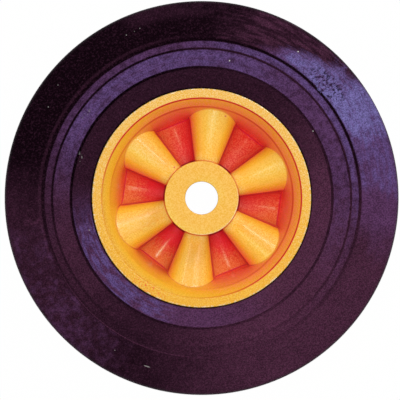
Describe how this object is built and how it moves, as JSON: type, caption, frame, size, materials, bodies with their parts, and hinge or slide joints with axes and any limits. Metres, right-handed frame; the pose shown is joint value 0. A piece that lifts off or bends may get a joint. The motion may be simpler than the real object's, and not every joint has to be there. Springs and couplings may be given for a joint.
{
  "type": "solid wheel",
  "caption": "Solid rubber-tyred wheel with a one-piece yellow plastic wheel centre: a plain-bored boss joined to the rim by a corrugated web of half-cones.",
  "frame": {"origin": "middle of the bore, half way through the wheel's width", "axes": "+Z along the axle towards the front side, +X along the middle of one of the front half-cones; the wheel lies on its side"},
  "size_m": [0.25, 0.25, 0.064],
  "materials": {
    "rubber": "moulded black rubber with a plum cast, satin, fine grain",
    "yellow_plastic": "injection-moulded yellow-orange plastic, soft gloss"
  },
  "bodies": {
    "root": {"tyre": "rubber", "wheel_centre": "yellow_plastic"}
  },
  "joints": []
}
